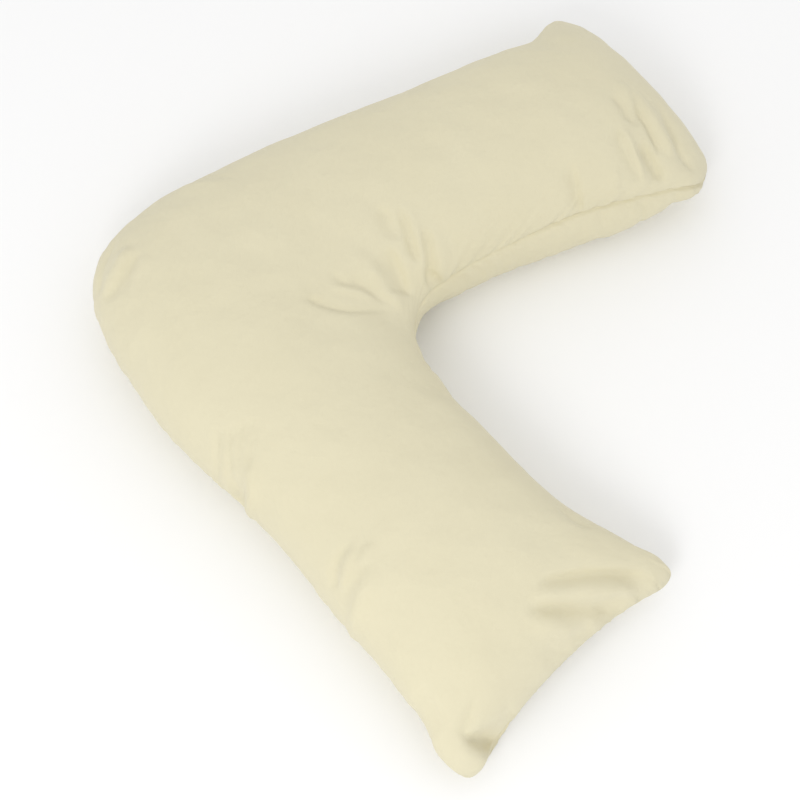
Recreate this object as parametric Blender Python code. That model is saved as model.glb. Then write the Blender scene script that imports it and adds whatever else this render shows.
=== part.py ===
"""A V-shaped pillow: one filled solid of two arms that meet at a rounded turn.

Metres, +Z up. The pillow lies on its back panel on Z = 0, and the V opens towards +X.
The far arm runs towards +Y and the near arm towards -Y. The origin is the middle of the
pillow's box, on the floor. The front and back panels meet in one sewn edge all round,
which is pulled in along the arms and stands out in an ear at each of the four corners.
"""
from math import cos, pi, radians, sin, tan

import bmesh
import bpy
import numpy as np

# Driving sizes
ARM_LENGTH = 0.840          # along an arm's outer side, from where both outer sides would meet
ARM_WIDTH = 0.289           # from seam to seam once the pillow is filled
ARM_ANGLE = radians(38.7)   # between an arm and the middle line of the V
TURN_RADIUS = 0.167         # of the outer side where the arms meet
CROTCH_RADIUS = 0.071       # of the inner side where the arms meet
EAR_FADE = 0.075            # how far an ear reaches back along the sides
EAR_POWER = 1.5             # how sharply an ear falls away along its edges, more is sharper
EAR_TIP = 0.045             # how far the rounding at an ear's tip reaches
TIP_ROUNDING = 0.35 * EAR_TIP   # how far the tip itself is drawn back along each edge
END_FADE = 0.110            # how far an end's bulge or hollow reaches into the arm
FAR_END_FILL = 0.170        # length over which the plump far end fills out to full height
NEAR_END_FILL = 0.220       # the same at the slack near end
SINK = 1.10                 # the underside's depth to the seam's height, flattened by the floor
FRONT_ROUNDNESS = 0.90      # power of the front panel's section, less is fuller
BACK_ROUNDNESS = 0.80       # power of the back panel's section across the arm, less is fuller
SEAM_PINCH = 0.003          # how far the stitches draw the seam in
SEAM_EASE = 4               # how fast pinch and folds reach full size away from the seam
FLOOR_GAP = 1e-6            # a point lower than this lies on the floor
FLAT_TURN = radians(0.1)    # faces on the floor that turn less than this are merged

# The mesh: sections around the V, and points across a panel from seam to seam
SECTIONS = 108
ACROSS = 24
END_SECTIONS = 14           # of an arm's sections, those where its end fills out
IS_FAR = np.arange(SECTIONS + 1) < SECTIONS // 2

# A row for each section, from the far arm's end (-1) round the turn (0) to the near end (1).
#   outer, inner: how far the seam stands out from the plain outline, on either side
#   crown: height of the front panel; seam_out, seam_in: height of the seam on either side
#   lip_out, lip_in: how far the back panel bulges out past the seam
STATION_COLUMNS = ("place", "outer", "inner", "crown", "seam_out", "seam_in", "lip_out", "lip_in")
STATIONS = (
    (-1.00, 0.000, -0.003, 0.164, 0.034, 0.035, 0.006, 0.020),
    (-0.92, -0.003, 0.004, 0.165, 0.063, 0.074, 0.006, 0.021),
    (-0.80, -0.007, 0.004, 0.166, 0.073, 0.091, 0.006, 0.024),
    (-0.60, -0.004, -0.006, 0.166, 0.074, 0.098, 0.006, 0.028),
    (-0.40, 0.003, -0.008, 0.166, 0.074, 0.097, 0.006, 0.024),
    (-0.20, -0.001, -0.005, 0.167, 0.074, 0.093, 0.006, 0.021),
    (0.00, 0.001, 0.002, 0.168, 0.074, 0.077, 0.006, 0.008),
    (0.20, -0.005, 0.001, 0.168, 0.074, 0.074, 0.006, 0.006),
    (0.40, -0.001, -0.001, 0.167, 0.074, 0.073, 0.006, 0.006),
    (0.60, -0.010, -0.004, 0.166, 0.074, 0.073, 0.006, 0.006),
    (0.80, -0.002, 0.001, 0.163, 0.073, 0.073, 0.006, 0.006),
    (0.92, -0.002, -0.001, 0.160, 0.063, 0.063, 0.006, 0.006),
    (1.00, -0.001, 0.004, 0.158, 0.034, 0.037, 0.006, 0.006),
)

# A row for each ear: how far it spreads away from the arm, and reaches past the arm's end
EARS = {
    # corner: (spread, reach)
    "far_outer": (0.034, -0.017),
    "far_inner": (0.004, 0.027),
    "near_outer": (0.017, 0.034),
    "near_inner": (0.065, 0.002),
}
FAR_END_BULGE = 0.013       # the far end's edge stands out between its ears
NEAR_END_BULGE = -0.013     # the near end's edge is drawn in between its ears

# A row for each main fold of the front panel. Each runs from its start to its end, in plan.
#   width: from the middle line to where the fold has mostly faded
#   height: above the panel, and below it where negative
FOLDS = (
    # start x, start y, end x, end y, width, height
    (-0.085, -0.022, -0.010, -0.010, 0.013, -0.0060),
    (-0.072, 0.016, 0.004, 0.008, 0.011, -0.0040),
    (-0.090, 0.000, -0.020, -0.002, 0.012, 0.0030),
    (-0.060, 0.038, 0.000, 0.018, 0.014, 0.0040),
    (-0.040, 0.117, 0.010, 0.034, 0.012, -0.0055),
    (-0.014, 0.119, 0.018, 0.066, 0.009, -0.0040),
    (0.018, 0.104, 0.031, 0.048, 0.010, -0.0050),
    (0.040, 0.110, 0.046, 0.058, 0.014, 0.0040),
    (0.221, 0.346, 0.268, 0.309, 0.011, -0.0040),
    (0.248, 0.366, 0.290, 0.286, 0.009, -0.0045),
    (0.262, 0.366, 0.302, 0.290, 0.012, 0.0055),
    (0.266, 0.290, 0.303, 0.256, 0.011, -0.0060),
    (0.292, 0.348, 0.338, 0.288, 0.012, -0.0050),
    (0.190, 0.240, 0.204, 0.200, 0.010, -0.0035),
    (0.214, -0.330, 0.340, -0.272, 0.012, -0.0050),
    (0.232, -0.334, 0.330, -0.296, 0.011, 0.0060),
    (0.226, -0.354, 0.318, -0.310, 0.013, -0.0090),
    (0.240, -0.388, 0.280, -0.362, 0.013, -0.0030),
    (0.168, -0.470, 0.184, -0.515, 0.014, 0.0050),
    (0.180, -0.492, 0.212, -0.484, 0.013, -0.0080),
    (-0.326, 0.002, -0.350, -0.044, 0.010, -0.0040),
    (-0.340, 0.022, -0.357, -0.034, 0.011, 0.0040),
    (-0.156, -0.212, -0.140, -0.254, 0.010, -0.0040),
    (-0.128, -0.206, -0.111, -0.268, 0.011, -0.0035),
    (0.042, -0.326, 0.034, -0.390, 0.014, -0.0040),
)

FOLD_RUN_OUT = 0.2          # how far a fold runs out past its start and end, to its length
FOLD_MARGIN = 4             # sections at each end over which the folds die out

# Cream polycotton, in Blender's linear colour
CREAM = (0.745, 0.694, 0.503, 1.0)
CLOTH_ROUGHNESS = 0.85


def clear_scene():
    """Remove whatever the open file holds."""
    for obj in list(bpy.data.objects):
        bpy.data.objects.remove(obj)


def arm_direction(side):
    """Unit vector along an arm; side is 1 for the far arm and -1 for the near one."""
    return np.array([cos(ARM_ANGLE), side * sin(ARM_ANGLE)])


def by_arm(far_value, near_value):
    """A column with one value for the far arm's sections and another for the near arm's."""
    return np.where(IS_FAR, far_value, near_value)[:, None]


def half_side(offset, radius, end_fill):
    """The far arm's half of one side of the V in plan, from its end to the middle of the turn.

    The sections crowd at the end, where the pillow rises steeply. Returns the points, and
    each point's distance from the end.
    """
    along = arm_direction(1)
    away = np.array([-sin(ARM_ANGLE), cos(ARM_ANGLE)])
    end = along * (ARM_LENGTH - 0.5 * ARM_WIDTH / tan(ARM_ANGLE)) + away * offset
    corner = np.array([-offset / sin(ARM_ANGLE), 0.0])
    tangent = corner + along * radius / tan(ARM_ANGLE)
    centre = corner + np.array([radius / sin(ARM_ANGLE), 0.0])
    straight = np.linalg.norm(tangent - end)
    whole = straight + radius * (pi / 2 - ARM_ANGLE)
    rising = end_fill * (1 - np.cos(np.linspace(0.0, pi / 2, END_SECTIONS + 1)))
    level = np.linspace(end_fill, whole, SECTIONS // 2 - END_SECTIONS + 1)
    run = np.concatenate([rising, level[1:]])
    angle = pi / 2 + ARM_ANGLE + np.clip(run - straight, 0.0, None) / radius
    on_line = end + np.outer(run / straight, tangent - end)
    on_arc = centre + radius * np.column_stack([np.cos(angle), np.sin(angle)])
    return np.where((run < straight)[:, None], on_line, on_arc), run


def side_line(offset, radius):
    """One side of the V in plan, its corner rounded, with a point for each section.

    Returns the points, unit vectors square to the line that point to the V's outside, a column
    of each point's distance from its arm's end, and each point's place from -1 to 1.
    """
    far, far_run = half_side(offset, radius, FAR_END_FILL)
    near, near_run = half_side(offset, radius, NEAR_END_FILL)
    line = np.vstack([far, near[-2::-1] * (1, -1)])
    step = np.gradient(line, axis=0)
    step /= np.linalg.norm(step, axis=1)[:, None]
    outside = np.column_stack([step[:, 1], -step[:, 0]])
    place = np.concatenate([far_run / far_run[-1] - 1, 1 - near_run[-2::-1] / near_run[-1]])
    return line, outside, np.concatenate([far_run, near_run[-2::-1]])[:, None], place


def table_column(name, place):
    """A column of the table of stations, read at each place on a smooth curve through its rows."""
    rows = np.array(STATIONS).T
    places, values = rows[0], rows[STATION_COLUMNS.index(name)]
    slopes = np.gradient(values, places)
    row = np.clip(np.searchsorted(places, place) - 1, 0, len(places) - 2)
    step = places[row + 1] - places[row]
    t = (place - places[row]) / step
    level = values[row] * (1 + 2 * t) * (1 - t) ** 2 + values[row + 1] * t * t * (3 - 2 * t)
    bend = step * (slopes[row] * t * (1 - t) ** 2 - slopes[row + 1] * t * t * (1 - t))
    return (level + bend)[:, None]


def fading(distance, length, power=EAR_POWER):
    """1 at no distance, falling smoothly to nothing past the length."""
    return np.exp(-(distance / length) ** power)


def ear_tip(run, from_side):
    """1 at an ear's very tip, falling to nothing along both of its edges."""
    back = np.clip(1 - run / EAR_TIP, 0.0, 1.0)
    aside = np.clip(1 - from_side / EAR_TIP, 0.0, 1.0)
    return (back * aside) ** EAR_POWER


def clear_of_seam(turn):
    """0 at the seam on either side of a panel, and 1 over most of its width."""
    return np.clip(SEAM_EASE * np.sin(turn), 0.0, 1.0)


def panels():
    """The front and back panels, each a grid of points; both have the same rim."""
    along = np.where(IS_FAR[:, None], arm_direction(1), arm_direction(-1))

    # The two long sides of the rim
    outer, outside, outer_run, outer_place = side_line(0.5 * ARM_WIDTH, TURN_RADIUS)
    inner, inner_outside, inner_run, inner_place = side_line(-0.5 * ARM_WIDTH, CROTCH_RADIUS)
    outer_ear, inner_ear = fading(outer_run, EAR_FADE), fading(inner_run, EAR_FADE)
    spread_out = by_arm(EARS["far_outer"][0], EARS["near_outer"][0]) * outer_ear
    spread_in = by_arm(EARS["far_inner"][0], EARS["near_inner"][0]) * inner_ear
    stand_out = table_column("outer", outer_place) + spread_out - SEAM_PINCH
    stand_in = table_column("inner", inner_place) + spread_in - SEAM_PINCH
    outer = outer + outside * stand_out
    inner = inner - inner_outside * stand_in
    width = np.linalg.norm(inner - outer, axis=1)[:, None]
    across = (inner - outer) / width

    # The ends are rounded in height: none at the end's own edge, full height further in
    run = 0.5 * (outer_run + inner_run)
    share = np.clip(run / by_arm(FAR_END_FILL, NEAR_END_FILL), 0.0, 1.0)
    filled = np.sqrt(1 - (1 - share) ** 2)
    reach_out = by_arm(EARS["far_outer"][1], EARS["near_outer"][1]) * outer_ear
    reach_in = by_arm(EARS["far_inner"][1], EARS["near_inner"][1]) * inner_ear
    bulge = by_arm(FAR_END_BULGE, NEAR_END_BULGE) * fading(run, END_FADE, 2.0)

    seam_out = table_column("seam_out", outer_place)
    seam_in = table_column("seam_in", inner_place)
    lip_out = table_column("lip_out", outer_place)
    lip_in = table_column("lip_in", inner_place)
    crown = table_column("crown", 0.5 * (outer_place + inner_place))
    grids = []
    turn = np.linspace(0.0, pi, ACROSS + 1)
    pinched = np.cos(turn) * clear_of_seam(turn)
    for is_front in (True, False):
        roundness = 1.0 if is_front else BACK_ROUNDNESS
        part = 0.5 * (1 - np.sign(np.cos(turn)) * np.abs(np.cos(turn)) ** roundness)
        from_outer, from_inner = width * part, width * (1 - part)
        tip_out, tip_in = ear_tip(run, from_outer), ear_tip(run, from_inner)

        # Along the arm: the ears' reach, the end's bulge and the ears' rounded tips
        reach = reach_out * fading(from_outer, EAR_FADE) + reach_in * fading(from_inner, EAR_FADE)
        reach = reach + bulge * 4 * part * (1 - part) - TIP_ROUNDING * (tip_out + tip_in)

        # Across the arm: the pinch at the seam, and the back panel's bulge past it
        sideways = TIP_ROUNDING * (tip_out - tip_in) - SEAM_PINCH * pinched * filled
        seam = seam_out * (1 - part) + seam_in * part
        height = filled * np.sin(turn) ** FRONT_ROUNDNESS
        if is_front:
            z = seam + (crown - seam) * height
        else:
            lip = np.sin(2 * turn)
            lip = lip * np.where(lip > 0, lip_out, lip_in)
            sideways = sideways - lip * filled
            z = np.maximum(0.0, seam - SINK * seam * height)
        flat = outer[:, None] * (1 - part)[:, None] + inner[:, None] * part[:, None]
        plan = flat + along[:, None] * reach[..., None] + across[:, None] * sideways[..., None]
        grids.append(np.dstack([plan, z]))
    return grids


def centred(grids):
    """Move both panels so that the origin is the middle of their box, on the floor."""
    points = np.vstack([grid.reshape(-1, 3) for grid in grids])
    middle = 0.5 * (points.min(axis=0) + points.max(axis=0))
    shift = np.array([middle[0], middle[1], 0.0])
    return [grid - shift for grid in grids]


def folded(front):
    """Raise and sink the front panel along its main folds; the rim stays."""
    facing = np.cross(np.gradient(front, axis=0), np.gradient(front, axis=1))
    facing /= np.linalg.norm(facing, axis=2)[..., None]
    lift = np.zeros(front.shape[:2])
    for x1, y1, x2, y2, width, height in FOLDS:
        start, run = np.array([x1, y1]), np.array([x2 - x1, y2 - y1])
        share = ((front[..., :2] - start) @ run) / (run @ run)
        share = np.clip(share, -FOLD_RUN_OUT, 1 + FOLD_RUN_OUT)
        gap = np.linalg.norm(front[..., :2] - start - share[..., None] * run, axis=2)
        ends = np.sin(pi * (share + FOLD_RUN_OUT) / (1 + 2 * FOLD_RUN_OUT))
        lift += height * ends * fading(gap, width, 2.0)
    sides = clear_of_seam(np.linspace(0.0, pi, ACROSS + 1))
    row = np.arange(SECTIONS + 1)
    ends = np.clip(np.minimum(row, row[::-1]) / FOLD_MARGIN, 0.0, 1.0)
    return front + facing * (lift * ends[:, None] * sides)[..., None]


def add_panel(bm, grid, rim):
    """Faces of one panel; its rim's points are made once and shared by both panels."""
    rows, columns = grid.shape[:2]
    points = {}
    for i in range(rows):
        for j in range(columns):
            on_rim = i in (0, rows - 1) or j in (0, columns - 1)
            if on_rim and (i, j) in rim:
                points[i, j] = rim[i, j]
                continue
            points[i, j] = bm.verts.new(grid[i, j])
            if on_rim:
                rim[i, j] = points[i, j]
    for i in range(rows - 1):
        for j in range(columns - 1):
            bm.faces.new((points[i, j], points[i, j + 1], points[i + 1, j + 1], points[i + 1, j]))


def make_pillow():
    """The filled pillow, one closed body that is flat where it rests."""
    front, back = centred(panels())
    bm = bmesh.new()
    rim = {}
    add_panel(bm, folded(front), rim)
    add_panel(bm, back, rim)
    floor_points = [v for v in bm.verts if v.co.z < FLOOR_GAP]
    floor_edges = [e for e in bm.edges if all(v.co.z < FLOOR_GAP for v in e.verts)]
    bmesh.ops.dissolve_limit(bm, angle_limit=FLAT_TURN, verts=floor_points, edges=floor_edges)
    bmesh.ops.recalc_face_normals(bm, faces=bm.faces)
    mesh = bpy.data.meshes.new("pillow")
    bm.to_mesh(mesh)
    bm.free()
    mesh.shade_smooth()
    pillow = bpy.data.objects.new("pillow", mesh)
    bpy.context.scene.collection.objects.link(pillow)
    return pillow


def cream_polycotton():
    """Plain woven cloth, matt and cream."""
    material = bpy.data.materials.new("cream_polycotton")
    material.use_nodes = True
    shader = material.node_tree.nodes["Principled BSDF"]
    shader.inputs["Base Color"].default_value = CREAM
    shader.inputs["Roughness"].default_value = CLOTH_ROUGHNESS
    return material


def main():
    clear_scene()
    pillow = make_pillow()
    pillow.data.materials.append(cream_polycotton())


main()
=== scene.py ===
# %% [markdown]
# # A V-shaped pillow in cream polycotton
#
# This lesson dresses a imported model of a V-shaped pillow. The real thing is two identical
# V-shaped panels of cloth, sewn together all round, turned right side out and filled. There
# is no frame inside: its whole look is the way in which the cloth gives way to the filling.
# The first step loads the model, which stays fixed.

from math import cos, pi, radians, sin, tan

import bpy
import numpy as np
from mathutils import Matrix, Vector


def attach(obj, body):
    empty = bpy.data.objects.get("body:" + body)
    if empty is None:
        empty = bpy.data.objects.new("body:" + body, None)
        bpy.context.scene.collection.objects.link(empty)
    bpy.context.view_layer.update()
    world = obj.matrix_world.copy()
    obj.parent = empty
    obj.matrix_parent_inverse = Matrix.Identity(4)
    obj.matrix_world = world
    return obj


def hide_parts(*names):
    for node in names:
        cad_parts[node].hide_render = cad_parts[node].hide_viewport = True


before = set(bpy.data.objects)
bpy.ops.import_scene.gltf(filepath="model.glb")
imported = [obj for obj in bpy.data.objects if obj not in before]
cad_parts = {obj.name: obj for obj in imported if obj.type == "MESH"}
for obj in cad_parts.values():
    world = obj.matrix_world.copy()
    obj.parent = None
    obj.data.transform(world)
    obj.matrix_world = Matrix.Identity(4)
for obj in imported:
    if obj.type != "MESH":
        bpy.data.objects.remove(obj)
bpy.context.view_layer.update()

# %% [markdown]
# ## Camera
#
# The pillow lies on its back and is seen from high above the near arm, a little from the
# right. A camera can be dragged about until the view is right. Here it is placed on a sphere
# round the point that it looks at, so that each number has a plain meaning and can be changed
# alone. A long lens keeps both arms nearly the same width.

# %% Camera and a helper for new objects
CAMERA_AIM = Vector((0.028, -0.085, 0.060))
CAMERA_AZIMUTH = radians(10.72)
CAMERA_HEIGHT = radians(62.74)
CAMERA_DISTANCE = 2.300
CAMERA_LENS = 84.3


def placed(name, data):
    """A new object in the scene."""
    thing = bpy.data.objects.new(name, data)
    bpy.context.scene.collection.objects.link(thing)
    return thing


def add_camera():
    """A camera on a sphere round its aim."""
    back = Vector((
        sin(CAMERA_AZIMUTH) * cos(CAMERA_HEIGHT),
        -cos(CAMERA_AZIMUTH) * cos(CAMERA_HEIGHT),
        sin(CAMERA_HEIGHT),
    ))
    data = bpy.data.cameras.new("camera")
    data.lens = CAMERA_LENS
    camera = placed("camera", data)
    camera.location = CAMERA_AIM + back * CAMERA_DISTANCE
    camera.rotation_mode = "QUATERNION"
    camera.rotation_quaternion = (-back).to_track_quat("-Z", "Y")
    bpy.context.scene.camera = camera
    return camera


camera = add_camera()
print("camera at", [round(x, 3) for x in camera.location])

# %% [markdown]
# ## Floor and light
#
# Pale cloth shows its folds only through small changes of tone, and several lamps would cross
# their shadows on it. So most of the light comes evenly from a bright world, which fills
# every hollow, and one large panel of light in front, a little to the left of the camera,
# models the folds. Surfaces that face the viewer are then the brightest. Colours are shown as
# they are, without a film curve.

# %% Floor and light
FLOOR_SIZE = 30.0
FLOOR_TONE = 0.95
FLOOR_ROUGHNESS = 0.9
FLOOR_SPECULAR = 0.2
WORLD_LIGHT = 0.92
PANEL_PLACE = Vector((-0.10, -2.1, 1.8))
PANEL_AIM = Vector((0.0, 0.0, 0.05))
PANEL_SIZE = 0.9
PANEL_POWER = 16.5          # in watts


def set_world():
    """An even pale light from everywhere."""
    world = bpy.data.worlds.new("soft_room")
    world.use_nodes = True
    background = world.node_tree.nodes["Background"]
    background.inputs["Color"].default_value = (1.0, 1.0, 1.0, 1.0)
    background.inputs["Strength"].default_value = WORLD_LIGHT
    bpy.context.scene.world = world


def add_light():
    """One square panel of light, turned towards the pillow."""
    data = bpy.data.lights.new("key", "AREA")
    data.shape = "SQUARE"
    data.size = PANEL_SIZE
    data.energy = PANEL_POWER
    light = placed("key", data)
    light.location = PANEL_PLACE
    light.rotation_mode = "QUATERNION"
    light.rotation_quaternion = (PANEL_AIM - PANEL_PLACE).to_track_quat("-Z", "Y")
    return light


def add_floor():
    """A plain pale floor, level with the pillow's underside."""
    half = 0.5 * FLOOR_SIZE
    mesh = bpy.data.meshes.new("floor")
    mesh.from_pydata([(-half, -half, 0), (half, -half, 0), (half, half, 0), (-half, half, 0)],
                     [], [(0, 1, 2, 3)])
    material = bpy.data.materials.new("pale_floor")
    material.use_nodes = True
    shader = material.node_tree.nodes["Principled BSDF"]
    shader.inputs["Base Color"].default_value = (FLOOR_TONE, FLOOR_TONE, FLOOR_TONE, 1.0)
    shader.inputs["Roughness"].default_value = FLOOR_ROUGHNESS
    shader.inputs["Specular IOR Level"].default_value = FLOOR_SPECULAR
    mesh.materials.append(material)
    placed("floor", mesh)


bpy.context.scene.view_settings.view_transform = "Standard"
set_world()
light = add_light()
add_floor()
print("floor", FLOOR_SIZE, "m wide, light at", [round(x, 3) for x in light.location])

# %% [markdown]
# ## The sizes of the pillow
#
# The pillow is a long filled tube, bent to a V. Each arm ends in a pair of ears, where the
# filling doesn't reach. It could be sculpted by eye, but sizes can be checked against the
# real thing, so its form is written down in metres. The table goes from the far arm's end,
# round the turn, to the near arm's end. It says how far both sides stand out from a plain V,
# how high the cloth and the seam lie, how far the sewn edge has slipped under the outer side,
# and how far the back panel bulges past the inner seam.

# %% Sizes
ARM_LENGTH = 0.840          # along an arm's outer side, from where both outer sides would meet
ARM_WIDTH = 0.289           # from seam to seam once the pillow is filled
ARM_ANGLE = radians(38.7)   # between an arm and the middle line of the V
TURN_RADIUS = 0.167         # of the outer side where the arms meet
CROTCH_RADIUS = 0.071       # of the inner side where the arms meet
EAR_FADE = 0.075            # how far an ear reaches back along the sides
EAR_POWER = 1.5             # how sharply an ear falls away along its edges, more is sharper
BELL = 2.0                  # the same power for all that fades like a bell's outline
EAR_TIP = 0.045             # how far the rounding at an ear's tip reaches
TIP_ROUNDING = 0.35 * EAR_TIP   # how far the tip itself is drawn back along each edge
LIMP_REACH = 0.060          # how far from an ear's tip the filling is missing
LIMP = 0.45                 # share of the front's height that is missing at the tip
END_FADE = 0.110            # how far an end's bulge or hollow reaches into the arm
FAR_END_FILL = 0.170        # length over which the plump far end fills out to full height
NEAR_END_FILL = 0.220       # the same at the slack near end
SINK = 1.10                 # the underside's depth to the seam's height, flattened by the floor
FRONT_ROUNDNESS = 0.90      # power of the front panel's section, less is fuller
BACK_ROUNDNESS = 0.80       # power of the back panel's section across the arm, less is fuller
SEAM_PINCH = 0.003          # how far the stitches draw the seam in

# the place along the V from -1 to 1, how far the outer and the inner side stand out, the height
# of the crown and of the seam on both sides, and the slip and the bulge told of above
STATION_COLUMNS = ("place", "outer", "inner", "crown", "seam_out", "seam_in", "slip", "lip")
STATIONS = (
    (-1.00, 0.0000, -0.0030, 0.164, 0.034, 0.048, 0.000, 0.006),
    (-0.92, -0.0030, 0.0040, 0.165, 0.063, 0.074, 0.000, 0.029),
    (-0.87, -0.0150, 0.0045, 0.165, 0.069, 0.084, 0.000, 0.024),
    (-0.80, -0.0085, 0.0040, 0.166, 0.073, 0.091, 0.000, 0.024),
    (-0.60, -0.0015, -0.0060, 0.166, 0.074, 0.098, 0.000, 0.028),
    (-0.40, 0.0058, -0.0080, 0.166, 0.074, 0.097, 0.000, 0.022),
    (-0.20, 0.0012, -0.0050, 0.167, 0.074, 0.093, 0.000, 0.019),
    (-0.11, -0.0027, -0.0010, 0.168, 0.074, 0.085, 0.000, 0.014),
    (0.00, 0.0040, 0.0060, 0.168, 0.074, 0.077, 0.000, 0.008),
    (0.13, -0.0085, 0.0108, 0.168, 0.074, 0.075, 0.022, 0.007),
    (0.19, -0.0069, 0.0062, 0.168, 0.074, 0.075, 0.026, 0.006),
    (0.28, 0.0018, -0.0003, 0.168, 0.074, 0.074, 0.026, 0.006),
    (0.34, 0.0032, 0.0012, 0.167, 0.074, 0.074, 0.026, 0.006),
    (0.40, 0.0000, 0.0015, 0.167, 0.074, 0.073, 0.026, 0.006),
    (0.50, -0.0071, -0.0005, 0.166, 0.074, 0.073, 0.026, 0.006),
    (0.62, -0.0078, -0.0015, 0.166, 0.074, 0.073, 0.026, 0.006),
    (0.70, -0.0036, 0.0005, 0.165, 0.074, 0.073, 0.026, 0.006),
    (0.80, -0.0031, 0.0030, 0.163, 0.073, 0.073, 0.026, 0.006),
    (0.92, -0.0030, 0.0000, 0.160, 0.063, 0.063, 0.016, 0.006),
    (1.00, -0.0010, 0.0060, 0.158, 0.034, 0.037, 0.000, 0.006),
)
# corner: (how far the ear spreads away from the arm, how far it reaches past the arm's end)
EARS = {
    "far_outer": (0.0415, -0.006),
    "far_inner": (0.017, 0.020),
    "near_outer": (0.0260, 0.0315),
    "near_inner": (0.070, 0.008),
}
FAR_END_BULGE = 0.0125      # the far end's edge stands out between its ears
NEAR_END_BULGE = -0.0125    # the near end's edge is drawn in between its ears
FAR_END_SKEW = 1.40         # how far they lean towards the arm's inner ear
NEAR_END_SKEW = 1.00
PLAN_CENTRE = (0.2476, -0.0084)   # the middle of the model's box, from where the arms' lines meet

print(len(STATIONS), "stations along the V,", len(EARS), "ears")

# %% [markdown]
# ## The outline of the V
#
# From above, both long sides of the V are a straight run and an arc. Curve objects could draw
# them, but then the points of one side wouldn't belong to those of the other. Here one
# function works out both, step by step. The steps crowd at an arm's end, where the cloth
# climbs steeply from the seam, so that the mesh has faces of nearly the same size everywhere.
# Later the same function draws the flat cloth, with other sizes.

# %% Outline
SECTIONS = 216              # steps round the V on the simulated cloth
END_SECTIONS = 34           # of an arm's steps, those where its end fills out
ACROSS = 52                 # steps across a panel
IS_FAR = np.arange(SECTIONS + 1) < SECTIONS // 2
MIDDLE_REACH = ARM_LENGTH - 0.5 * ARM_WIDTH / tan(ARM_ANGLE)   # along an arm's middle line


def arm_direction(side):
    """Unit vector along an arm; side is 1 for the far arm and -1 for the near one."""
    return np.array([cos(ARM_ANGLE), side * sin(ARM_ANGLE)])


def half_side(offset, radius, reach, rising):
    """The far arm's half of one side of the V in plan, from its end to the middle of the turn.

    reach is the length of the arm's middle line, and rising the distances from the end that
    the crowded steps have. Returns the points and their distances from the end.
    """
    along = arm_direction(1)
    end = along * reach + np.array([-along[1], along[0]]) * offset
    corner = np.array([-offset / sin(ARM_ANGLE), 0.0])
    tangent = corner + along * radius / tan(ARM_ANGLE)
    centre = corner + np.array([radius / sin(ARM_ANGLE), 0.0])
    straight = np.linalg.norm(tangent - end)
    whole = straight + radius * (pi / 2 - ARM_ANGLE)
    level = np.linspace(rising[-1], whole, SECTIONS // 2 - END_SECTIONS + 1)
    run = np.concatenate([rising, level[1:]])
    angle = pi / 2 + ARM_ANGLE + np.clip(run - straight, 0.0, None) / radius
    on_line = end + np.outer(run / straight, tangent - end)
    on_arc = centre + radius * np.column_stack([np.cos(angle), np.sin(angle)])
    return np.where((run < straight)[:, None], on_line, on_arc), run


def round_steps(end_fill):
    """Distances from an arm's end that give even steps on its round end."""
    return end_fill * (1 - np.cos(np.linspace(0.0, pi / 2, END_SECTIONS + 1)))


def side_line(offset, radius, reaches, rises):
    """One side of the whole V: points, distances from the arm's end, and places from -1 to 1."""
    far, far_run = half_side(offset, radius, reaches[0], rises[0])
    near, near_run = half_side(offset, radius, reaches[1], rises[1])
    line = np.vstack([far, near[-2::-1] * (1, -1)])
    run = np.concatenate([far_run, near_run[-2::-1]])
    place = np.concatenate([far_run / far_run[-1] - 1, 1 - near_run[-2::-1] / near_run[-1]])
    return line, run[:, None], place


rises = (round_steps(FAR_END_FILL), round_steps(NEAR_END_FILL))
outer_line = side_line(0.5 * ARM_WIDTH, TURN_RADIUS, (MIDDLE_REACH, MIDDLE_REACH), rises)
inner_line = side_line(-0.5 * ARM_WIDTH, CROTCH_RADIUS, (MIDDLE_REACH, MIDDLE_REACH), rises)
print("outer side", round(2 * float(outer_line[1].max()), 3), "m,",
      "inner side", round(2 * float(inner_line[1].max()), 3), "m")

# %% [markdown]
# ## The filled form
#
# Between the two sides, each section is close to an ellipse above the seam and a flattened
# one below it, where the floor carries the pillow. At an arm's end the height falls to
# nothing along a quarter ellipse, and the limp ears reach out past it. A box with a
# Subdivision Surface could be pulled into this form. Here the sections are worked out with
# many points and then cut into steps of equal length, as cloth that is evenly stretched over
# the filling would be. Along the near arm's outer side the steps start lower, because the
# sewn edge has slipped under that side.

# %% Filled form
DENSE = 480                 # points across a section before it is cut into equal steps
SEAM_EASE = 4               # how fast the pinch reaches its full size away from the seam
SLIP_EASE = 0.010           # slip at which the outer side is no longer pinched where the edge was


def by_arm(far_value, near_value):
    """A column with one value for the far arm's sections and another for the near arm's."""
    return np.where(IS_FAR, far_value, near_value)[:, None]


def table_column(name, place):
    """A column of the table of stations, read on a smooth curve through its rows."""
    rows = np.array(STATIONS).T
    places, values = rows[0], rows[STATION_COLUMNS.index(name)]
    slopes = np.gradient(values, places)
    row = np.clip(np.searchsorted(places, place) - 1, 0, len(places) - 2)
    step = places[row + 1] - places[row]
    t = (place - places[row]) / step
    level = values[row] * (1 + 2 * t) * (1 - t) ** 2 + values[row + 1] * t * t * (3 - 2 * t)
    bend = step * (slopes[row] * t * (1 - t) ** 2 - slopes[row + 1] * t * t * (1 - t))
    return (level + bend)[:, None]


def ear(side, part):
    """One number of the ears on one side of the V, as a column for both arms."""
    return by_arm(EARS["far_" + side][part], EARS["near_" + side][part])


def fading(distance, length, power=EAR_POWER):
    """1 at no distance, falling smoothly to nothing past the length."""
    return np.exp(-(distance / length) ** power)


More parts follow.
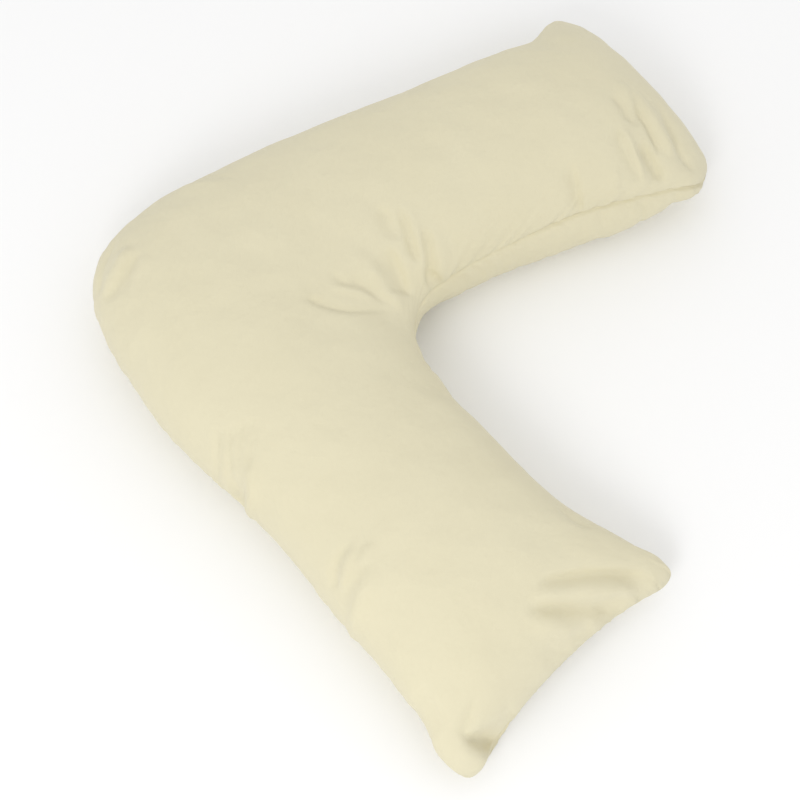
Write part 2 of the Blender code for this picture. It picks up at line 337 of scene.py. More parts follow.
def ear_tip(run, from_side):
    """1 at an ear's very tip, falling to nothing along both of its edges."""
    back = np.clip(1 - run / EAR_TIP, 0.0, 1.0)
    aside = np.clip(1 - from_side / EAR_TIP, 0.0, 1.0)
    return (back * aside) ** EAR_POWER


def outward(line):
    """Unit vectors square to a line in plan that point to the V's outside."""
    step = np.gradient(line, axis=0)
    step /= np.linalg.norm(step, axis=1)[:, None]
    return np.column_stack([step[:, 1], -step[:, 0]])


def respaced(other, grid, slip):
    """Each section cut again into equal steps, from the place that the sewn edge has slipped to.

    It slips onto the other panel where slip is above zero, and away from it below zero.
    """
    path = np.concatenate([other[:, :0:-1], grid], axis=1)
    step = np.linalg.norm(np.diff(path, axis=1), axis=2)
    run = np.concatenate([np.zeros((len(path), 1)), np.cumsum(step, axis=1)], axis=1)
    run -= run[:, DENSE:DENSE + 1]
    even = np.linspace(0.0, 1.0, ACROSS + 1)
    places = run[:, -1:] * even - slip * (1 - even)
    return np.stack([
        np.column_stack([np.interp(place, far, section[:, k]) for k in range(3)])
        for place, far, section in zip(places, run, path)
    ])


def filled_form():
    """The front and back panels of the filled pillow, as grids that share their rim."""
    (outer, outer_run, outer_place), (inner, inner_run, inner_place) = outer_line, inner_line
    along = np.where(IS_FAR[:, None], arm_direction(1), arm_direction(-1))
    outer_ear, inner_ear = fading(outer_run, EAR_FADE), fading(inner_run, EAR_FADE)
    spread_out = ear("outer", 0) * outer_ear
    spread_in = ear("inner", 0) * inner_ear
    outer = outer + outward(outer) * (table_column("outer", outer_place) + spread_out - SEAM_PINCH)
    inner = inner - outward(inner) * (table_column("inner", inner_place) + spread_in - SEAM_PINCH)
    width = np.linalg.norm(inner - outer, axis=1)[:, None]
    across = (inner - outer) / width

    run = 0.5 * (outer_run + inner_run)
    share = np.clip(run / by_arm(FAR_END_FILL, NEAR_END_FILL), 0.0, 1.0)
    filled = np.sqrt(1 - (1 - share) ** 2)
    reach_out = ear("outer", 1) * outer_ear
    reach_in = ear("inner", 1) * inner_ear
    bulge = by_arm(FAR_END_BULGE, NEAR_END_BULGE) * fading(run, END_FADE, BELL)
    seam_out, seam_in = table_column("seam_out", outer_place), table_column("seam_in", inner_place)
    slip, lip = table_column("slip", outer_place), table_column("lip", inner_place)
    crown = table_column("crown", 0.5 * (outer_place + inner_place))

    grids = []
    turn = np.linspace(0.0, pi, DENSE + 1)
    eased = np.clip(SEAM_EASE * np.sin(turn), 0.0, 1.0)
    free = np.clip(slip / SLIP_EASE, 0.0, 1.0) * (np.cos(turn) > 0)
    pinched = np.cos(turn) * np.maximum(eased, free)
    for is_front in (True, False):
        roundness = 1.0 if is_front else BACK_ROUNDNESS
        part = 0.5 * (1 - np.sign(np.cos(turn)) * np.abs(np.cos(turn)) ** roundness)
        from_outer, from_inner = width * part, width * (1 - part)
        tip_out, tip_in = ear_tip(run, from_outer), ear_tip(run, from_inner)
        reach = reach_out * fading(from_outer, EAR_FADE) + reach_in * fading(from_inner, EAR_FADE)
        bow = 4 * part * (1 - part) * (1 + by_arm(FAR_END_SKEW, NEAR_END_SKEW) * (2 * part - 1))
        reach = reach + bulge * bow - TIP_ROUNDING * (tip_out + tip_in)
        sideways = TIP_ROUNDING * (tip_out - tip_in) - SEAM_PINCH * pinched * filled
        seam = seam_out * (1 - part) + seam_in * part
        limp = fading(np.hypot(run, from_outer), LIMP_REACH, BELL)
        limp = limp + fading(np.hypot(run, from_inner), LIMP_REACH, BELL)
        height = filled * np.sin(turn) ** FRONT_ROUNDNESS * (1 - LIMP * limp)
        if is_front:
            z = seam + (crown - seam) * height
        else:
            sideways = sideways - np.minimum(np.sin(2 * turn), 0.0) * lip * filled
            z = np.maximum(0.0, seam - SINK * seam * height)
        flat = outer[:, None] * (1 - part)[:, None] + inner[:, None] * part[:, None]
        plan = flat + along[:, None] * reach[..., None] + across[:, None] * sideways[..., None]
        grids.append(np.dstack([plan, z]) - (*PLAN_CENTRE, 0.0))
    front, back = grids
    return respaced(back, front, slip), respaced(front, back, -slip)


front_form, back_form = filled_form()
print("form from", front_form.min(axis=(0, 1)).round(4), "to", front_form.max(axis=(0, 1)).round(4))

# %% [markdown]
# ## The cut cloth
#
# Before it was filled, the pillow was flat: two V-shaped panels, wider than the filled arms,
# because half of the girth is the width of the cloth. An unwrapping would give some flat
# shape, but not the one that was cut. So each point of the mesh gets its place on the cut
# panel by the same steps as on the filled one. The simulation reads it as the cloth's true
# lengths, and the weave reads it as a UV map, so the threads run straight over the whole V as
# on real cloth.

# %% Cut panels
CUT_WIDTH = 0.368           # of an arm of the flat cloth, seam to seam
GROWTH = 0.5 * (CUT_WIDTH - ARM_WIDTH)


def end_lengths(column):
    """How far along the cloth each crowded step lies from an arm's end."""
    step = np.linalg.norm(np.diff(column[:END_SECTIONS + 1], axis=0), axis=1)
    return np.concatenate([[0.0], np.cumsum(step)])


def cut_panel(grid):
    """The flat place of each point of a panel, in plan."""
    middle = grid[:, ACROSS // 2]
    rises = (end_lengths(middle), end_lengths(middle[::-1]))
    fills = (FAR_END_FILL, NEAR_END_FILL)
    reaches = [MIDDLE_REACH + rise[-1] - fill for rise, fill in zip(rises, fills)]
    outer = side_line(0.5 * CUT_WIDTH, TURN_RADIUS + GROWTH, reaches, rises)[0]
    inner = side_line(-0.5 * CUT_WIDTH, CROTCH_RADIUS - GROWTH, reaches, rises)[0]
    part = np.linspace(0.0, 1.0, ACROSS + 1)[:, None]
    return outer[:, None] * (1 - part) + inner[:, None] * part


cut = cut_panel(front_form)
print("cut cloth", np.ptp(cut.reshape(-1, 2), axis=0).round(3), "m")

# %% [markdown]
# ## Sewing the two panels into one mesh
#
# On the real pillow, one seam joins both panels all round. Two meshes could be made and their
# edges merged afterwards. Here the points of the sewn edge are made once and used by both
# panels, which closes the body as the seam does. The panels are bent as grids of points with
# numpy, and these helpers turn them into the mesh that Blender simulates and renders.

# %% Grids to a mesh
def on_rim(grid):
    """Which points of a panel lie on the sewn edge."""
    rim = np.ones(grid.shape[:2], bool)
    rim[1:-1, 1:-1] = False
    return rim


def grid_places(grid):
    """The mesh's vertex numbers for every point of the front and of the back panel."""
    rows, columns = grid.shape[:2]
    front = np.arange(rows * columns).reshape(rows, columns)
    back = front.copy()
    inside = (rows - 2) * (columns - 2)
    back[1:-1, 1:-1] = front.size + np.arange(inside).reshape(rows - 2, columns - 2)
    return front, back


def quads(places):
    """A face for each cell of a grid, in an order that makes the front panel face up."""
    return np.stack([places[:-1, :-1], places[1:, :-1], places[1:, 1:], places[:-1, 1:]], axis=2)


def vertex_rows(front, back):
    """The points of both panels in the mesh's order."""
    inside = back[1:-1, 1:-1]
    return np.vstack([front.reshape(-1, front.shape[2]), inside.reshape(-1, back.shape[2])])


def sewn_mesh(name, front, back):
    """One closed mesh from the two panels."""
    front_places, back_places = grid_places(front)
    faces = np.vstack([
        quads(front_places).reshape(-1, 4),
        quads(back_places).reshape(-1, 4)[:, ::-1],
    ])
    mesh = bpy.data.meshes.new(name)
    mesh.from_pydata(vertex_rows(front, back).tolist(), [], faces.tolist())
    mesh.shade_smooth()
    return mesh


print("points of the mesh before the simulation:", len(vertex_rows(front_form, back_form)))

# %% [markdown]
# ## Folds drawn one by one
#
# The cloth has to lie in folds where it is too long for the filling, most of all round the
# inner corner, at the ends and at the turn. A simulation makes such folds, but not where this
# pillow has them, so the main ones are drawn one by one. Each follows a line through a few
# points, seen from above. It has its own height, negative for a trough, and two widths, for
# its left and its right flank as it is walked. Real folds are lopsided like this: one flank
# falls steeply, the other runs out.

# %% Folds drawn one by one
# name: (line, where along it the fold is strongest, left and right width, height)
FOLDS = {
    # round the inner corner
    "crotch_low": (((-0.094, -0.017), (-0.086, -0.024), (-0.059, -0.027), (-0.036, -0.021),
                    (0.002, 0.002)),
                   0.40, (0.010, 0.005), -0.0050),
    "crotch_mid_start": (((-0.076, 0.022), (-0.062, 0.013), (-0.048, 0.013)),
                         0.50, (0.006, 0.006), -0.0032),
    "crotch_mid": (((-0.054, 0.021), (-0.043, 0.018), (-0.024, 0.013), (0.006, 0.007)),
                   0.45, (0.008, 0.007), -0.0036),
    "crotch_mid_ridge": (((-0.073, 0.001), (-0.047, 0.004), (-0.016, 0.006)),
                         0.50, (0.006, 0.006), 0.0030),
    "crotch_upper_ridge": (((-0.038, 0.039), (-0.019, 0.033), (-0.003, 0.018), (0.012, 0.008)),
                           0.60, (0.014, 0.009), 0.0038),
    "crotch_broad_ridge": (((-0.058, 0.046), (-0.039, 0.046), (-0.012, 0.032)),
                           0.50, (0.012, 0.012), 0.0030),
    "crotch_high_start": (((-0.037, 0.123), (-0.022, 0.106), (-0.008, 0.085)),
                          0.50, (0.007, 0.014), -0.0052),
    "crotch_high": (((-0.016, 0.076), (-0.003, 0.059), (0.011, 0.041), (0.018, 0.031)),
                    0.50, (0.006, 0.020), -0.0080),
    "crotch_second": (((-0.012, 0.127), (-0.001, 0.107), (0.012, 0.085), (0.023, 0.069)),
                      0.55, (0.006, 0.008), -0.0065),
    "crotch_second_ridge": (((-0.001, 0.127), (0.016, 0.096), (0.027, 0.073), (0.032, 0.052)),
                            0.55, (0.006, 0.006), 0.0030),
    "crotch_third": (((0.022, 0.110), (0.031, 0.092), (0.037, 0.071), (0.036, 0.056)),
                     0.60, (0.007, 0.008), -0.0062),
    "crotch_third_ridge": (((0.036, 0.114), (0.042, 0.092), (0.048, 0.076), (0.049, 0.069)),
                           0.60, (0.014, 0.012), 0.0038),
    # the far end
    "far_first": (((0.219, 0.350), (0.236, 0.337), (0.248, 0.323), (0.264, 0.315)),
                  0.50, (0.015, 0.006), -0.0060),
    "far_first_ridge": (((0.225, 0.378), (0.241, 0.360), (0.259, 0.336)),
                        0.50, (0.009, 0.010), 0.0030),
    "far_thin": (((0.248, 0.366), (0.262, 0.336), (0.276, 0.318), (0.286, 0.304), (0.298, 0.288)),
                 0.50, (0.011, 0.005), -0.0080),
    "far_crest": (((0.250, 0.374), (0.266, 0.347), (0.283, 0.325), (0.301, 0.308), (0.313, 0.296)),
                  0.60, (0.010, 0.007), 0.0062),
    "far_bright": (((0.235, 0.303), (0.248, 0.286), (0.263, 0.266), (0.278, 0.245)),
                   0.50, (0.005, 0.012), -0.0060),
    "far_bright_ridge": (((0.241, 0.304), (0.253, 0.286), (0.268, 0.268), (0.284, 0.248)),
                         0.50, (0.006, 0.006), 0.0068),
    "far_deep": (((0.266, 0.298), (0.280, 0.285), (0.293, 0.272), (0.307, 0.260)),
                 0.65, (0.007, 0.013), -0.0115),
    "far_edge": (((0.279, 0.371), (0.296, 0.348), (0.310, 0.327), (0.325, 0.310), (0.344, 0.295)),
                 0.70, (0.007, 0.012), -0.0070),
    "far_edge_ridge": (((0.308, 0.364), (0.329, 0.339), (0.345, 0.319)),
                       0.60, (0.010, 0.008), 0.0015),
    "far_pleat": (((0.241, 0.254), (0.245, 0.236), (0.250, 0.226)), 0.55, (0.006, 0.006), 0.0035),
    "far_pucker": (((0.186, 0.239), (0.195, 0.217), (0.203, 0.203), (0.210, 0.201)),
                   0.50, (0.006, 0.009), -0.0050),
    # the near end
    "near_first": (((0.230, -0.328), (0.243, -0.316), (0.265, -0.304), (0.294, -0.289),
                    (0.331, -0.273), (0.364, -0.261)),
                   0.72, (0.006, 0.014), -0.0098),
    "near_crest": (((0.226, -0.342), (0.256, -0.322), (0.302, -0.301), (0.352, -0.279)),
                   0.60, (0.009, 0.007), 0.0066),
    "near_deep": (((0.224, -0.353), (0.251, -0.343), (0.283, -0.330), (0.309, -0.315),
                   (0.328, -0.302), (0.346, -0.289)),
                  0.66, (0.006, 0.013), -0.0155),
    "near_deep_crest": (((0.232, -0.367), (0.266, -0.350), (0.300, -0.330), (0.321, -0.313)),
                        0.55, (0.012, 0.011), 0.0060),
    "near_third": (((0.276, -0.360), (0.289, -0.347), (0.304, -0.333)),
                   0.70, (0.006, 0.006), -0.0050),
    "near_fourth": (((0.244, -0.389), (0.267, -0.374), (0.284, -0.358)),
                    0.60, (0.006, 0.011), -0.0035),
    # the near outer ear
    "ear_hollow": (((0.176, -0.495), (0.191, -0.493), (0.206, -0.485), (0.219, -0.473),
                    (0.231, -0.456)),
                   1.00, (0.006, 0.010), -0.0240),
    "ear_crest": (((0.170, -0.504), (0.183, -0.512), (0.197, -0.512), (0.210, -0.507)),
                  0.60, (0.009, 0.011), 0.0040),
    "ear_line": (((0.181, -0.456), (0.181, -0.477), (0.178, -0.487), (0.174, -0.498)),
                 0.60, (0.005, 0.005), -0.0040),
    "ear_side": (((0.116, -0.457), (0.133, -0.474), (0.153, -0.493)),
                 0.50, (0.010, 0.013), -0.0045),
    # the turn and the outer side of the near arm
    "turn_ridge": (((-0.332, 0.025), (-0.335, 0.006), (-0.338, -0.011), (-0.343, -0.026),
                    (-0.351, -0.041)),
                   0.50, (0.006, 0.012), 0.0085),
    "turn_valley": (((-0.314, 0.014), (-0.324, 0.001), (-0.329, -0.015), (-0.341, -0.032),
                     (-0.346, -0.048)),
                    0.60, (0.011, 0.008), -0.0050),
    "turn_edge": (((-0.355, 0.045), (-0.362, 0.022), (-0.365, -0.002), (-0.364, -0.020),
                   (-0.364, -0.036)),
                  0.60, (0.007, 0.004), -0.0040),
    "turn_far_ridge": (((-0.301, 0.006), (-0.309, -0.008), (-0.316, -0.027)),
                       0.50, (0.010, 0.010), 0.0025),
    "side_first": (((-0.166, -0.198), (-0.166, -0.220), (-0.163, -0.244)),
                   0.50, (0.006, 0.006), -0.0042),
    "side_second": (((-0.154, -0.196), (-0.150, -0.224), (-0.145, -0.250)),
                    0.50, (0.006, 0.006), -0.0050),
    "side_notch": (((-0.146, -0.243), (-0.141, -0.252), (-0.135, -0.258), (-0.126, -0.266)),
                   0.70, (0.006, 0.006), -0.0065),
    "side_third": (((-0.136, -0.186), (-0.138, -0.214), (-0.136, -0.246)),
                   0.50, (0.006, 0.006), -0.0040),
    "side_ridge": (((-0.124, -0.232), (-0.118, -0.250), (-0.115, -0.263), (-0.115, -0.274)),
                   0.50, (0.006, 0.008), 0.0060),
    "side_fourth": (((-0.126, -0.184), (-0.125, -0.215), (-0.122, -0.244)),
                    0.50, (0.006, 0.006), -0.0026),
    "belly_ridge": (((0.021, -0.316), (0.016, -0.335), (0.015, -0.349), (0.015, -0.364)),
                    0.60, (0.006, 0.006), 0.0055),
    "belly_valley": (((0.013, -0.318), (0.003, -0.335), (0.001, -0.349), (0.006, -0.364)),
                     0.60, (0.006, 0.006), -0.0045),
    "belly_upper": (((0.039, -0.316), (0.035, -0.330), (0.032, -0.344)),
                    0.50, (0.009, 0.006), 0.0045),
    "belly_crest": (((0.043, -0.340), (0.043, -0.359), (0.039, -0.371), (0.038, -0.382),
                     (0.032, -0.399)),
                    0.60, (0.011, 0.010), 0.0095),
    # small puckers at the near arm's inner seam
    "inner_pucker": (((0.042, -0.028), (0.054, -0.044), (0.066, -0.068)),
                     0.50, (0.006, 0.006), -0.0035),
    "inner_pucker_two": (((0.240, -0.214), (0.260, -0.227), (0.282, -0.233)),
                         0.50, (0.006, 0.006), -0.0035),
}
# the puckers that show below the far arm's inner seam, on the back panel
BACK_FOLDS = {
    "strip_ear": (((0.340, 0.287), (0.348, 0.283), (0.353, 0.281)), 0.50, (0.005, 0.004), -0.0030),
    "strip_second": (((0.312, 0.266), (0.322, 0.264), (0.330, 0.268)),
                     0.50, (0.006, 0.006), -0.0028),
    "strip_third": (((0.275, 0.240), (0.283, 0.238), (0.290, 0.236)),
                    0.50, (0.006, 0.006), -0.0030),
    "strip_fourth": (((0.231, 0.213), (0.234, 0.207), (0.236, 0.202)),
                     0.50, (0.007, 0.005), -0.0025),
}

print(len(FOLDS) + len(BACK_FOLDS), "folds drawn by hand")

# %% [markdown]
# ## Laying folds on a panel
#
# Folds can be pushed into a mesh with a sculpting brush, or painted as a picture that moves
# the cloth. Here the distance of each point from a fold's line says how far it moves, so a
# fold is as crisp as the mesh allows and can be changed by a number. Troughs are sharp at the
# bottom, where the cloth is creased, and ridges are round. The long seams hold the cloth, so
# the folds stop there. At an arm's end they run on over the sewn edge, weaker, and down
# rather than in, and the back panel goes along with them. The simulation starts from a share
# of the folds' depth.

# %% Laying folds
FOLD_STEPS = 24             # points that stand for a fold's line
FOLD_RISE = 1.6             # how soon a fold reaches its full height, 1 is only at its strongest place
TROUGH_POWER = 1.6          # how sharp the bottom of a trough is, 1 is a crease
RIDGE_POWER = 2.0           # the same for the top of a ridge, 2 is round
END_WIDTH = 0.5             # share of its width that a fold has at its ends
SEAM_HOLD = 0.007           # how close to the long seams the folds die out
END_HOLD = 0.010            # how close to the ends' seams they get weaker
END_HELD = 0.35             # share of their depth that is missing at the ends' seams
LEAN_REACH = 0.030          # how close to the ends' seams they go down rather than in
LEAN = 3.0                  # how much so
DRAG_REACH = 0.025          # how far the ends' folds reach into the back panel
FOLD_SHARE_BEFORE = 0.3     # share of the folds' depth that the simulation starts from
TINY = 1e-12                # keeps a division by nothing from failing


def facing(grid):
    """Unit vectors square to a grid's surface, outwards on the front panel."""
    square = np.cross(np.gradient(grid, axis=1), np.gradient(grid, axis=0))
    return -square / np.maximum(np.linalg.norm(square, axis=2), TINY)[..., None]


def read_at(grid, places, axis):
    """A grid read at fractional places along an axis, on smooth curves through its points."""
    grid = np.moveaxis(grid, axis, 0)
    grown = np.concatenate([2 * grid[:1] - grid[1:2], grid, 2 * grid[-1:] - grid[-2:-1]])
    cell = np.clip(np.floor(places).astype(int), 0, len(grid) - 2)
    t = (places - cell).reshape(-1, *[1] * (grid.ndim - 1))
    before, start, end, after = (grown[cell + k] for k in range(4))
    bend = (2 * before - 5 * start + 4 * end - after) * t ** 2
    turn = (3 * start - before - 3 * end + after) * t ** 3
    return np.moveaxis(start + 0.5 * ((end - before) * t + bend + turn), 0, axis)


def fold_lift(plan, line, strongest, widths, height):
    """How far one fold lifts each point of a panel."""
    curve = read_at(np.array(line), np.linspace(0.0, len(line) - 1, FOLD_STEPS), 0)
    ahead = np.gradient(curve, axis=0)
    step = np.linalg.norm(ahead, axis=1)
    ahead /= step[:, None]
    nearest = np.linalg.norm(plan[:, :, None] - curve, axis=3).argmin(axis=2)
    apart, ahead, step = plan - curve[nearest], ahead[nearest], step[nearest]
    side = ahead[..., 0] * apart[..., 1] - ahead[..., 1] * apart[..., 0]
    place = nearest + (apart * ahead).sum(axis=2) / step
    along = np.clip(place / (FOLD_STEPS - 1), 0.0, 1.0)
    past_end = (place - along * (FOLD_STEPS - 1)) * step
    going = (1 - along) / max(1 - strongest, TINY)
    coming = np.where(along <= strongest, along / strongest, going)
    strength = np.sin(0.5 * pi * np.clip(FOLD_RISE * coming, 0.0, 1.0))
    width = np.where(side > 0, *widths) * (END_WIDTH + (1 - END_WIDTH) * strength)
    power = TROUGH_POWER if height < 0 else RIDGE_POWER
    return height * strength * fading(np.hypot(side, past_end), width, power)


def run_over(grid, axis):
    """How far each point lies from a grid's first row or column, along the cloth."""
    step = np.linalg.norm(np.diff(grid, axis=axis), axis=2)
    return np.insert(np.cumsum(step, axis=axis), 0, 0.0, axis=axis)


def edge_distance(grid, axis):
    """How far each point lies from the nearer of a grid's two edges, along the cloth."""
    run = run_over(grid, axis)
    return np.minimum(run, run.take([-1], axis=axis) - run)


def fold_move(grid, folds, share, lean=0.0):
    """How folds at a share of their depth move a panel's points.

    lean says how much they go down rather than in near the ends' seams.
    """
    lift = sum(fold_lift(grid[..., :2], *fold) for fold in folds.values())
    lift *= share * (1 - fading(edge_distance(grid, 1), SEAM_HOLD, BELL))
    ends = edge_distance(grid, 0)
    lift *= 1 - END_HELD * fading(ends, END_HOLD, BELL)
    out = facing(grid)
    out[..., 2] += lean * fading(ends, LEAN_REACH, BELL)
    return out * (lift / np.linalg.norm(out, axis=2))[..., None]


def dragged(front_move, back):
    """How the back panel goes along with the front's folds at the arms' sewn ends."""
    run = run_over(back, 0)
    far, near = (fading(far_off, DRAG_REACH, BELL) for far_off in (run, run[-1:] - run))
    return front_move[:1] * far[..., None] + front_move[-1:] * near[..., None]


def most_mm(move):
    """The longest of a panel's movements, in millimetres."""
    return round(1000 * float(np.linalg.norm(move, axis=2).max()), 1)


started = front_form + fold_move(front_form, FOLDS, FOLD_SHARE_BEFORE)
print("the folds move the front by up to", most_mm(started - front_form), "mm at the start")

# %% [markdown]
# ## Filling the cloth
#
# Now the cloth is filled for real. Small wrinkles could be sculpted too, but a simulation
# finds them from the cloth's own lengths. The mesh starts in the filled form, its true
# lengths come from the cut panels, and Blender's cloth simulation blows it up from inside.
# Wherever the cut cloth is longer than the form has room for, it has to give way. The sewn
# edge and the part that lies on the floor are pinned, and gravity is off, because the form
# already sags.

# %% Cloth simulation
FILL_PRESSURE = 80.0
FRAMES = 16
FLOOR_GAP = 0.0005          # points lower than this lie on the floor
STRETCH = 30.0
COMPRESSION = 8.0
SHEAR = 8.0
BENDING = 8.0
CLOTH_MASS = 0.004          # of each vertex, in kilograms
QUALITY = 6                 # steps of the simulation in a frame


def pinned_points(front, back):
    """Vertex numbers of the sewn edge and of what rests on the floor."""
    front_places, back_places = grid_places(front)
    resting = back[..., 2] < FLOOR_GAP
    return np.unique(np.concatenate([front_places[on_rim(front)], back_places[resting]]))


def simulated(front, back, cut):
    """Both panels after the cloth simulation, as grids."""
    mesh = sewn_mesh("filling", front, back)
    bag = placed("filling", mesh)
    flat = np.dstack([cut, np.full(cut.shape[:2], float(front[..., 2].mean()))])
    bag.shape_key_add(name="filled")
    lengths = bag.shape_key_add(name="cut")
    lengths.data.foreach_set("co", vertex_rows(flat, flat).ravel())
    pins = bag.vertex_groups.new(name="held")
    pins.add(pinned_points(front, back).tolist(), 1.0, "REPLACE")

    cloth = bag.modifiers.new("cloth", "CLOTH")
    settings = cloth.settings
    settings.quality = QUALITY
    settings.mass = CLOTH_MASS
    settings.tension_stiffness = STRETCH
    settings.compression_stiffness = COMPRESSION
    settings.shear_stiffness = SHEAR
    settings.bending_stiffness = BENDING
    settings.vertex_group_mass = "held"
    settings.rest_shape_key = lengths
    settings.use_pressure = True
    settings.uniform_pressure_force = FILL_PRESSURE
    settings.effector_weights.gravity = 0.0
    cloth.collision_settings.use_collision = False
    cloth.point_cache.frame_start = 1
    cloth.point_cache.frame_end = FRAMES
    scene = bpy.context.scene
    for number in range(1, FRAMES + 1):
        scene.frame_set(number)
    filled = bag.evaluated_get(bpy.context.evaluated_depsgraph_get()).to_mesh()
    points = np.empty(3 * len(filled.vertices))
    filled.vertices.foreach_get("co", points)
    points = points.reshape(-1, 3)
    front_places, back_places = grid_places(front)
    bpy.data.objects.remove(bag)
    scene.frame_set(1)
    return points[front_places], points[back_places]


front_filled, back_filled = started, back_form
front_filled, back_filled = simulated(started, back_form, cut)
print("the filling moves the front by up to", most_mm(front_filled - started), "mm")

# %% [markdown]
# ## Keeping the form, taking the folds
#
# The simulation gives two things at once: it swells the whole pillow a little, and it lays
# the spare cloth in folds. The size is already right, so only a small share of the swelling
# is kept. It is found by smoothing the movement until the folds are gone. What is left over
# are the folds, and a cap keeps any of them from standing out too far. In a few places, where
# the listed folds say what the cloth does, the simulated ones are calmed.

# %% Folds from the simulation
SWELL_PASSES = 60           # smoothing passes that leave only the swelling
SWELL_KEPT = 0.12           # share of the swelling that stays
FOLD_CAP = 0.007            # how far a simulated fold may move the cloth
CALM_POWER = 4.0            # how soon a calm place ends at its reach, more is sooner
# place: (its middle in plan, its reach, the share of the simulated folds taken away there)
CALM_PLACES = {
    "far_end": ((0.300, 0.310), 0.110, 0.75),
    "far_strip": ((0.290, 0.230), 0.090, 0.90),
    "near_end": ((0.280, -0.350), 0.120, 0.75),
    "turn": ((-0.345, -0.030), 0.140, 0.85),
    "shoulder": ((-0.255, -0.120), 0.100, 0.85),
    "side": ((-0.130, -0.245), 0.090, 0.85),
    "belly": ((0.025, -0.350), 0.090, 0.85),
}


def smoothed(move, passes):
    """A movement averaged with its neighbours again and again; the sewn edge stays still."""
    move = move.copy()
    for _ in range(passes):
        sides = move[:-2, 1:-1] + move[2:, 1:-1] + move[1:-1, :-2] + move[1:-1, 2:]
        move[1:-1, 1:-1] = 0.2 * (move[1:-1, 1:-1] + sides)
    return move


def calm(plan):
    """The share of the simulated folds that stays at each point."""
    kept = np.ones(plan.shape[:2])
    for middle, reach, taken in CALM_PLACES.values():
        kept *= 1 - taken * fading(np.linalg.norm(plan - middle, axis=2), reach, CALM_POWER)
    return kept[..., None]


def settled(form, filled):
    """A panel's fitted form with the folds that the simulation laid in it."""
    move = filled - form
    swell = smoothed(move, SWELL_PASSES)
    folds = move - swell
    length = np.maximum(np.linalg.norm(folds, axis=2), TINY)[..., None]
    folds = folds * FOLD_CAP * np.tanh(length / FOLD_CAP) / length
    return form + SWELL_KEPT * swell + calm(form[..., :2]) * folds


front_cloth, back_cloth = front_filled, back_filled
front_cloth = settled(front_form, front_filled)
back_cloth = settled(back_form, back_filled)
print("what is kept moves the front by up to", most_mm(front_cloth - front_form), "mm")

# %% [markdown]
# ## A finer mesh
#
# The simulated mesh is too coarse for a seam or a crisp fold. A Subdivision Surface would
# refine it evenly. Here the grid is read again at more places, on smooth curves through its
# points, and the places crowd towards the sewn edge, where the cloth turns in sharply.

# %% Finer panels
FINE_SECTIONS = 416
FINE_ACROSS = 116
EDGE_CROWDING = 0.60        # how much the columns crowd at the sewn edge, 0 is not at all
FINE_ROWS = np.linspace(0.0, SECTIONS, FINE_SECTIONS + 1)


def finer(grid):
    """A panel with more sections, and more columns that crowd at the sewn edge."""
    even = np.linspace(0.0, 1.0, FINE_ACROSS + 1)
    columns = ACROSS * (even - EDGE_CROWDING * np.sin(2 * pi * even) / (2 * pi))
    return read_at(read_at(grid, FINE_ROWS, 0), columns, 1)


front_fine, back_fine, cut_fine = finer(front_cloth), finer(back_cloth), finer(cut)
fine_place = np.interp(FINE_ROWS, range(SECTIONS + 1), inner_line[2])[:, None]
print("fine panels:", front_fine.shape[:2])

# %% [markdown]
# ## Folds, lumps and the seam's groove
#
# This mesh is fine enough for the listed folds, so they are laid at their full depth.
# The filling is a little lumpy, so the surface gets slow, slight waves. The stitches draw
# both panels into a narrow groove and pucker the cloth on either side of it. The groove is
# deepest on the far half of the far arm, where the seam is pulled tight, and there is none at
# the ears' tips. A bump in the material would be cheaper, but it would leave the outline
# smooth. All the waves come from sines with seeded directions, so every run is alike.

# %% Surface details
FOLD_SHARE_AFTER = 1.0      # share of the folds' depth that is laid on the fine mesh
FRONT_SEED = 7
BACK_SEED = 17
LUMPS = 26                  # waves that add up to the lumps
LUMP_LENGTHS = (0.040, 0.150)
LUMP_HEIGHT = 0.00018       # of each wave
GROOVE_DEPTH = 0.0036
GROOVE_WIDTH = 0.0024
# place along the V: share of the groove's depth, full where the far arm pulls at the seam
SEAM_TIGHTNESS = ((-1.0, 1.0), (-0.55, 1.0), (-0.35, 0.45), (0.85, 0.45), (1.0, 0.25))
TIP_REACH = 0.020           # how far from an ear's tip the groove is missing
PUCKER_LENGTHS = (0.016, 0.045)
PUCKER_HEIGHT = 0.00036
PUCKER_REACH = 0.017        # how far from the seam the puckers die out
PUCKER_POWER = 1.0          # how they do so, 1 is fast at first and slow later
PUCKERS = 9                 # waves that add up to the puckers
CONTACT_EASE = 0.012        # height over the floor at which lumps and puckers reach full size


def waves(along, across, count, lengths, seed, sideways=1.0):
    """Slow waves in seeded directions; sideways 0 turns their crests square to the seam."""
    chance = np.random.default_rng(seed)
    total = np.zeros(np.broadcast(along, across).shape)
    for _ in range(count):
        length = chance.uniform(*lengths)
        heading = chance.uniform(0, pi) * sideways
        start = chance.uniform(0, 2 * pi)
        total += np.sin(2 * pi * (along * cos(heading) + across * sin(heading)) / length + start)
    return total


